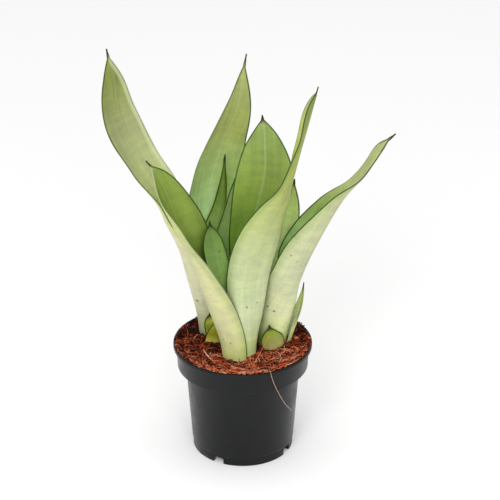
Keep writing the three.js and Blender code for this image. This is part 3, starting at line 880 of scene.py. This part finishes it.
def turned(name, profile, segments):
    """Closed body of revolution from radius and height pairs that start and end on the axis."""
    vertices = []
    starts = []
    for radius, height in profile:
        starts.append(len(vertices))
        count = 1 if radius == 0 else segments
        for k in range(count):
            turn = 2 * math.pi * k / segments
            vertices.append((radius * math.cos(turn), radius * math.sin(turn), height))
    faces = []
    for i in range(len(profile) - 1):
        here, there = starts[i], starts[i + 1]
        for k in range(segments):
            n = (k + 1) % segments
            if profile[i][0] == 0:
                faces.append((here, there + n, there + k))
            elif profile[i + 1][0] == 0:
                faces.append((here + k, here + n, there))
            else:
                faces.append((here + k, here + n, there + n, there + k))
    return add_mesh(name, vertices, faces)


def rounded(profile):
    """The profile with each inner corner replaced by a short arc."""
    points = [profile[0]]
    for before, corner, after in zip(profile, profile[1:], profile[2:]):
        corner = Vector(corner)
        back = Vector(before) - corner
        ahead = Vector(after) - corner
        reach = min(POT_BEVEL, back.length * BEVEL_SHARE, ahead.length * BEVEL_SHARE)
        start = corner + back.normalized() * reach
        end = corner + ahead.normalized() * reach
        for k in range(BEVEL_STEPS + 1):
            t = k / BEVEL_STEPS
            bend = start * (1 - t) ** 2 + corner * 2 * t * (1 - t) + end * t**2
            points.append((bend.x, bend.y))
    return points + [profile[-1]]


def pot_profile():
    """Outline of the pot, from the middle of its underside round the rim to the floor inside."""
    return [
        (0, 0),
        (CHANNEL_INNER_RADIUS, 0),
        (CHANNEL_INNER_RADIUS + CHANNEL_DRAFT, CHANNEL_HEIGHT),
        (CHANNEL_OUTER_RADIUS - CHANNEL_DRAFT, CHANNEL_HEIGHT),
        (CHANNEL_OUTER_RADIUS, 0),
        (FOOT_RADIUS, 0),
        (FOOT_RADIUS, FOOT_HEIGHT),
        (BODY_BOTTOM_RADIUS, FOOT_HEIGHT + FOOT_STEP),
        (BODY_TOP_RADIUS, COLLAR_BOTTOM),
        (COLLAR_RADIUS, COLLAR_BOTTOM),
        (COLLAR_TOP_RADIUS, POT_HEIGHT - LIP_HEIGHT),
        (LIP_RADIUS, POT_HEIGHT - LIP_HEIGHT),
        (LIP_RADIUS, POT_HEIGHT),
        (COLLAR_TOP_RADIUS - WALL, POT_HEIGHT),
        (COLLAR_RADIUS - WALL, COLLAR_BOTTOM + WALL),
        (BODY_TOP_RADIUS - WALL, COLLAR_BOTTOM + WALL),
        (BODY_BOTTOM_RADIUS - WALL, CHANNEL_HEIGHT + FLOOR),
        (CHANNEL_INNER_RADIUS - FLOOR, CHANNEL_HEIGHT + FLOOR),
        (CHANNEL_INNER_RADIUS - FLOOR, FLOOR),
        (0, FLOOR),
    ]


def cut(piece, cutters):
    """Subtracts closed cutter objects and removes them."""
    for cutter in cutters:
        modifier = piece.modifiers.new("cut", "BOOLEAN")
        modifier.object = cutter
        modifier.solver = "EXACT"
    depsgraph = bpy.context.evaluated_depsgraph_get()
    mesh = bpy.data.meshes.new_from_object(piece.evaluated_get(depsgraph))
    piece.modifiers.clear()
    piece.data = mesh
    for cutter in cutters:
        bpy.data.objects.remove(cutter)


def notch_cutter(turn):
    """Bar with rounded upper corners that cuts a notch through the foot ring."""
    half = NOTCH_WIDTH / 2
    outline = [(-half, -NOTCH_OVERCUT), (half, -NOTCH_OVERCUT)]
    for centre, start in ((half - NOTCH_CORNER, 0), (NOTCH_CORNER - half, 90)):
        for k in range(NOTCH_ARC_STEPS + 1):
            angle = math.radians(start + 90 * k / NOTCH_ARC_STEPS)
            outline.append((
                centre + NOTCH_CORNER * math.cos(angle),
                NOTCH_HEIGHT - NOTCH_CORNER + NOTCH_CORNER * math.sin(angle),
            ))
    spot = Vector((math.cos(turn), math.sin(turn), 0))
    over = Vector((-math.sin(turn), math.cos(turn), 0))
    vertices = []
    for reach in (DRAIN_RING_RADIUS, LIP_RADIUS):
        for sideways, height in outline:
            vertices.append(tuple(spot * reach + over * sideways + Vector((0, 0, height))))
    count = len(outline)
    faces = [tuple(range(count))[::-1], tuple(range(count, 2 * count))]
    faces += [(k, (k + 1) % count, count + (k + 1) % count, count + k) for k in range(count)]
    return add_mesh("notch_cutter", vertices, faces)


def drain_cutter(turn):
    """Upright bar that cuts a drainage hole through the raised floor ring."""
    top = CHANNEL_HEIGHT + 2 * FLOOR
    profile = [(0, FLOOR), (DRAIN_RADIUS, FLOOR), (DRAIN_RADIUS, top), (0, top)]
    cutter = turned("drain_cutter", profile, DRAIN_SEGMENTS)
    spot = Vector((math.cos(turn), math.sin(turn), 0))
    cutter.location = spot * DRAIN_RING_RADIUS * MM
    return cutter


def build_pot():
    pot = turned("pot_shell", rounded(pot_profile()), POT_SEGMENTS)
    turns = [NOTCH_FIRST_ANGLE + k * 360 / NOTCH_COUNT for k in range(NOTCH_COUNT)]
    cutters = [notch_cutter(math.radians(turn)) for turn in turns]
    cutters += [drain_cutter(k * 2 * math.pi / DRAIN_COUNT) for k in range(DRAIN_COUNT)]
    bpy.context.view_layer.update()
    cut(pot, cutters)
    pot.data.set_sharp_from_angle(angle=math.radians(POT_CREASE))
    dress(pot, pot_material(), "pot", "pot")


# Soil

def soil_height(x, y):
    """Height of the soil surface in millimetres: the dish, its waves, hollows and lumps."""
    outward = min(math.hypot(x, y) / SOIL_EDGE_RADIUS, 1.0)
    waves = math.sin(x / SOIL_RELIEF_PITCH + 1) + math.sin((y - x / 2) / SOIL_RELIEF_PITCH)
    height = SOIL_EDGE_HEIGHT - SOIL_DISH * (1 - outward**2) + SOIL_RELIEF * waves * (1 - outward**4)
    for at_x, at_y, radius, depth in HOLLOWS:
        height -= depth * math.exp(-((x - at_x) ** 2 + (y - at_y) ** 2) / radius**2)
    spot = Vector((x * LUMP_SCALE, y * LUMP_SCALE, LUMP_SEED))
    lumps = noise.fractal(spot, NOISE_DIMENSION, NOISE_LACUNARITY, LUMP_OCTAVES)
    return height + lumps * SOIL_ROUGHNESS


def soil_rings():
    """Radius of each ring of the soil, with its height where that isn't the surface's."""
    top = [(SOIL_EDGE_RADIUS * k / SOIL_RINGS, None) for k in range(1, SOIL_RINGS + 1)]
    wall = [
        (SOIL_EDGE_RADIUS, SOIL_EDGE_HEIGHT - SOIL_SHOULDER),
        (COLLAR_RADIUS - WALL - CLEARANCE, COLLAR_BOTTOM + WALL + CLEARANCE),
        (BODY_TOP_RADIUS - WALL - CLEARANCE, COLLAR_BOTTOM + WALL + CLEARANCE),
        (BODY_BOTTOM_RADIUS - WALL - CLEARANCE, SOIL_BOTTOM),
        (CHANNEL_INNER_RADIUS - FLOOR - CLEARANCE, SOIL_BOTTOM),
        (CHANNEL_INNER_RADIUS - FLOOR - CLEARANCE, FLOOR + CLEARANCE),
    ]
    return top + wall


def build_soil():
    """Closed plug of soil, with a lumpy top where the leaves come out."""
    rings = soil_rings()
    vertices = [(0, 0, soil_height(0, 0))]
    for radius, height in rings:
        for k in range(SOIL_SPOKES):
            turn = 2 * math.pi * k / SOIL_SPOKES
            x, y = radius * math.cos(turn), radius * math.sin(turn)
            vertices.append((x, y, soil_height(x, y) if height is None else height))
    vertices.append((0, 0, FLOOR + CLEARANCE))
    faces = []
    for k in range(SOIL_SPOKES):
        n = (k + 1) % SOIL_SPOKES
        faces.append((0, 1 + k, 1 + n))
        for ring in range(len(rings) - 1):
            here = 1 + ring * SOIL_SPOKES
            there = here + SOIL_SPOKES
            faces.append((here + k, there + k, there + n, here + n))
        last = 1 + (len(rings) - 1) * SOIL_SPOKES
        faces.append((last + k, len(vertices) - 1, last + n))
    soil = add_mesh("soil_bed", vertices, faces, crease=SOIL_CREASE)
    dress(soil, soil_material(), "soil", "soil")


# Coir

class Bundle:
    """Many small closed shapes gathered into one mesh with a tone for each."""

    def __init__(self):
        self.vertices = []
        self.faces = []
        self.tones = []

    def add(self, vertices, faces, tone):
        offset = len(self.vertices)
        self.vertices += [tuple(v) for v in vertices]
        self.faces += [tuple(offset + i for i in face) for face in faces]
        self.tones += [tone] * len(vertices)

    def finish(self, name, material):
        piece = add_mesh(name, self.vertices, self.faces, {"tone": self.tones})
        dress(piece, material, "soil")


def strand(points, radius, sides=FIBRE_SIDES):
    """Vertices and faces of a thin closed tube along points."""
    points = np.asarray(points, dtype=float)
    tangent = unit(np.gradient(points, axis=0))
    over = unit(np.cross(tangent, STRAND_ASKEW))
    up = np.cross(over, tangent)
    count = len(points)
    swell = np.sin(np.linspace(STRAND_ARC, math.pi - STRAND_ARC, count))
    taper = radius * (STRAND_END + (1 - STRAND_END) * swell)
    turns = np.arange(sides) * 2 * math.pi / sides
    ring = over[:, None] * np.cos(turns)[None, :, None] + up[:, None] * np.sin(turns)[None, :, None]
    vertices = (points[:, None] + ring * taper[:, None, None]).reshape(-1, 3)
    return vertices, tube_faces(count, sides)


def ground(x, y):
    """Height of what a fibre lies on: the soil, or the flat of the lip round it."""
    inside = soil_height(x, y)
    climb = min(max((math.hypot(x, y) - SOIL_EDGE_RADIUS + RIM_CLIMB) / RIM_CLIMB, 0), 1)
    return inside + (max(POT_HEIGHT, inside) - inside) * climb


def coir_path(rng, x, y, length, limit):
    """A curly fibre that lies on the ground, its middle or an end lifting a little."""
    heading = rng.uniform(0, 2 * math.pi)
    bend = rng.gauss(0, FIBRE_BEND)
    curl = rng.gauss(0, FIBRE_CURL)
    lift = abs(rng.gauss(0, FIBRE_LIFT))
    lean = rng.uniform(-FIBRE_LEAN, FIBRE_LEAN)
    points = []
    for k in range(FIBRE_STEPS):
        t = k / (FIBRE_STEPS - 1)
        arch = math.sin(math.pi * t) * (1 - abs(lean))
        end = max(lean, 0) * t + max(-lean, 0) * (1 - t)
        points.append((x, y, ground(x, y) + FIBRE_HEIGHT + lift * (arch + end)))
        heading += bend + curl * math.sin(FIBRE_CURL_RATE * t)
        x += length / FIBRE_STEPS * math.cos(heading)
        y += length / FIBRE_STEPS * math.sin(heading)
        reach = math.hypot(x, y)
        if reach > limit:
            x, y = x * limit / reach, y * limit / reach
            heading += FIBRE_TURN_BACK
    return points


def coir_tone(rng, x, y):
    """Fibre tone: painted light brightens the front and the right, painted shade darkens the back and
    left; darker patches and the spread are the coir's own.
    """
    painted_light_slope = (COIR_LIGHT_TO_RIGHT * x - COIR_LIGHT_TO_FRONT * y) / SOIL_EDGE_RADIUS
    spot = Vector((x, y, 0)) / COIR_PATCH
    patch = noise.fractal(spot, NOISE_DIMENSION, NOISE_LACUNARITY, COIR_PATCH_OCTAVES) * COIR_PATCHINESS
    return min(max(rng.gauss(COIR_TONE + painted_light_slope + patch, COIR_SPREAD), COIR_DARKEST), COIR_LIGHTEST)


def scatter(rng, reach):
    """A place in a random direction, at this reach."""
    turn = rng.uniform(0, 2 * math.pi)
    return reach * math.cos(turn), reach * math.sin(turn)


def add_fibre(bundle, rng, reach, lengths, radii, limit):
    """Lays a random fibre that starts at this reach and stays within the limit."""
    x, y = scatter(rng, reach)
    path = coir_path(rng, x, y, rng.uniform(*lengths), limit)
    vertices, faces = strand(path, rng.uniform(*radii))
    bundle.add(vertices, faces, coir_tone(rng, x, y))


def build_fibres(rng, material):
    """Fibres all over the soil, in a few meshes."""
    for batch in range(FIBRE_BATCHES):
        bundle = Bundle()
        for _ in range(FIBRES_PER_BATCH):
            reach = FIBRE_FIELD * math.sqrt(rng.random())
            add_fibre(bundle, rng, reach, FIBRE_LENGTHS, FIBRE_RADII, FIBRE_LIMIT)
        bundle.finish(f"coir_fibres_{batch + 1}", material)


def build_rim_fibres(rng, material):
    """Short fibres along the edge of the soil and on the flat of the lip."""
    bundle = Bundle()
    for _ in range(RIM_FIBRES):
        reach = rng.uniform(RIM_START, RIM_REACH)
        add_fibre(bundle, rng, reach, RIM_FIBRE_LENGTHS, RIM_FIBRE_RADII, RIM_REACH)
    bundle.finish("coir_fibres_rim", material)


def crumb_shape():
    """Vertices and faces of the ball that a crumb starts as."""
    ball = bmesh.new()
    bmesh.ops.create_icosphere(ball, subdivisions=1, radius=1.0)
    vertices = np.array([v.co[:] for v in ball.verts])
    faces = [tuple(v.index for v in face.verts) for face in ball.faces]
    ball.free()
    return vertices, faces


def build_crumbs(rng, material):
    """Dented crumbs among the fibres."""
    bundle = Bundle()
    shape, faces = crumb_shape()
    for _ in range(CRUMBS):
        x, y = scatter(rng, CRUMB_FIELD * math.sqrt(rng.random()))
        size = rng.uniform(*CRUMB_SIZES)
        scale = size * np.array([rng.uniform(*span) for span in CRUMB_SPANS])
        dents = np.array([[rng.uniform(*CRUMB_DENTS)] for _ in range(len(shape))])
        place = np.array([x, y, ground(x, y) + CRUMB_RISE * size])
        # Crumbs take the fibres' tone, with its painted light in front and painted shade at the back and
        # left
        bundle.add(shape * dents * scale + place, faces, CRUMB_TONE * coir_tone(rng, x, y))
    bundle.finish("coir_crumbs", material)


def build_strays(material):
    """The few long fibres that stand out."""
    bundle = Bundle()
    for tone, radius, points in STRAYS:
        path = spline(points, np.linspace(0, 1, STRAY_STEPS + 1))
        vertices, faces = strand(path, radius, STRAY_SIDES)
        bundle.add(vertices, faces, tone)
    bundle.finish("stray_fibres", material)


def build_coir():
    """Loose coir. The first three draw from one seed, in order."""
    material = coir_material()
    rng = random.Random(COIR_SEED)
    build_fibres(rng, material)
    build_rim_fibres(rng, material)
    build_crumbs(rng, material)
    build_strays(material)


# Rootstocks, which stay as the frame has them

def dress_rootstocks():
    material = rootstock_material()
    for name in ("rootstock_front", "rootstock_left", "rootstock_right", "rootstock_rear"):
        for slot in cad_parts[name].material_slots:
            slot.material = material


# Stage

def build_floor():
    corners = [(x * FLOOR_REACH, y * FLOOR_REACH, 0) for x, y in ((-1, -1), (1, -1), (1, 1), (-1, 1))]
    floor = add_mesh("floor", corners, [(0, 1, 2, 3)])
    material, _, shader = new_material("pale_floor", roughness=0.9, specular=FLOOR_GLOSS)
    shader.inputs["Base Color"].default_value = (FLOOR_ALBEDO, FLOOR_ALBEDO, FLOOR_ALBEDO, 1)
    floor.data.materials.append(material)


def build_world():
    world = bpy.data.worlds.new("studio")
    world.use_nodes = True
    background = world.node_tree.nodes["Background"]
    background.inputs["Color"].default_value = (1, 1, 1, 1)
    background.inputs["Strength"].default_value = WORLD_STRENGTH
    scene.world = world
    scene.view_settings.view_transform = "Standard"


def add_light(name, place, diameter, power):
    data = bpy.data.lights.new(name, "AREA")
    data.shape = "DISK"
    data.size = diameter
    data.energy = power
    light = bpy.data.objects.new(name, data)
    light.location = place
    light.rotation_euler = (Vector(LIGHT_TARGET) - Vector(place)).to_track_quat("-Z", "Y").to_euler()
    scene.collection.objects.link(light)


def add_camera():
    data = bpy.data.cameras.new("camera")
    data.lens = CAMERA_LENS
    data.sensor_width = CAMERA_SENSOR
    camera = bpy.data.objects.new("camera", data)
    camera.location = CAMERA_PLACE
    camera.rotation_euler = (math.radians(CAMERA_PITCH), 0, 0)
    scene.collection.objects.link(camera)
    scene.camera = camera


build_floor()
build_world()
for light in LIGHTS:
    add_light(*light)
add_camera()
build_pot()
build_soil()
build_coir()
build_leaves()
dress_rootstocks()
